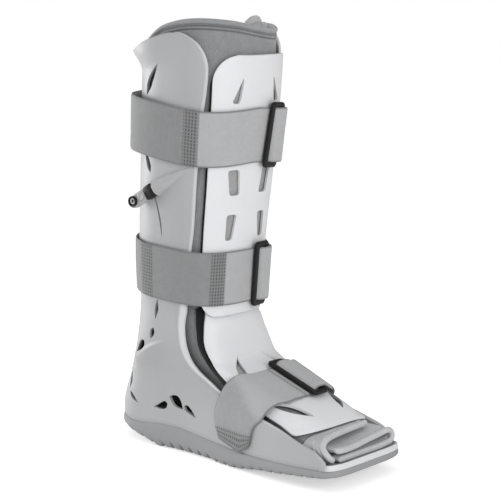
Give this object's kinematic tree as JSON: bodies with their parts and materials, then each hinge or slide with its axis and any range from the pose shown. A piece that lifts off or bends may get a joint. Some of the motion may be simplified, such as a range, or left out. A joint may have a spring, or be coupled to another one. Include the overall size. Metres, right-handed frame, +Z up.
{
  "type": "medical walking boot",
  "caption": "Tall walking boot with a moulded rear shell, slotted front panels, padded liner open above and at the toe, strap-and-ring fastenings and a rocker sole.",
  "frame": {"origin": "on the floor under the middle of the flat part of the rocker sole", "axes": "+X to the toe, +Y to the wearer's left, +Z up"},
  "size_m": [0.2916, 0.1428, 0.4111],
  "materials": {
    "shell_plastic": "light grey moulded plastic, satin",
    "panel_plastic": "near white moulded plastic, satin",
    "sole_rubber": "grey moulded foam rubber",
    "liner_knit": "grey brushed knit over foam",
    "binding_knit": "grey knit binding with stitches",
    "pad_foam": "black foam faced with knit",
    "strap_webbing": "grey brushed loop webbing",
    "ring_plastic": "black moulded plastic, satin",
    "valve_plastic": "pale grey moulded plastic"
  },
  "bodies": {
    "root": {"outsole": "sole_rubber", "rear_shell": "shell_plastic", "front_panel": "panel_plastic", "instep_panel": "panel_plastic", "shin_pad": "pad_foam", "instep_pad": "pad_foam", "liner": "liner_knit", "liner_binding": "binding_knit", "tongue": "liner_knit", "toe_flap_outer": "liner_knit", "toe_flap_inner": "liner_knit", "strap_upper": "strap_webbing", "strap_lower": "strap_webbing", "strap_foot": "strap_webbing", "ring_upper": "ring_plastic", "ring_lower": "ring_plastic", "ring_foot": "ring_plastic", "valve_block": "ring_plastic", "valve_body": "valve_plastic", "valve_cap": "valve_plastic", "hose_port": "ring_plastic"}
  },
  "joints": []
}
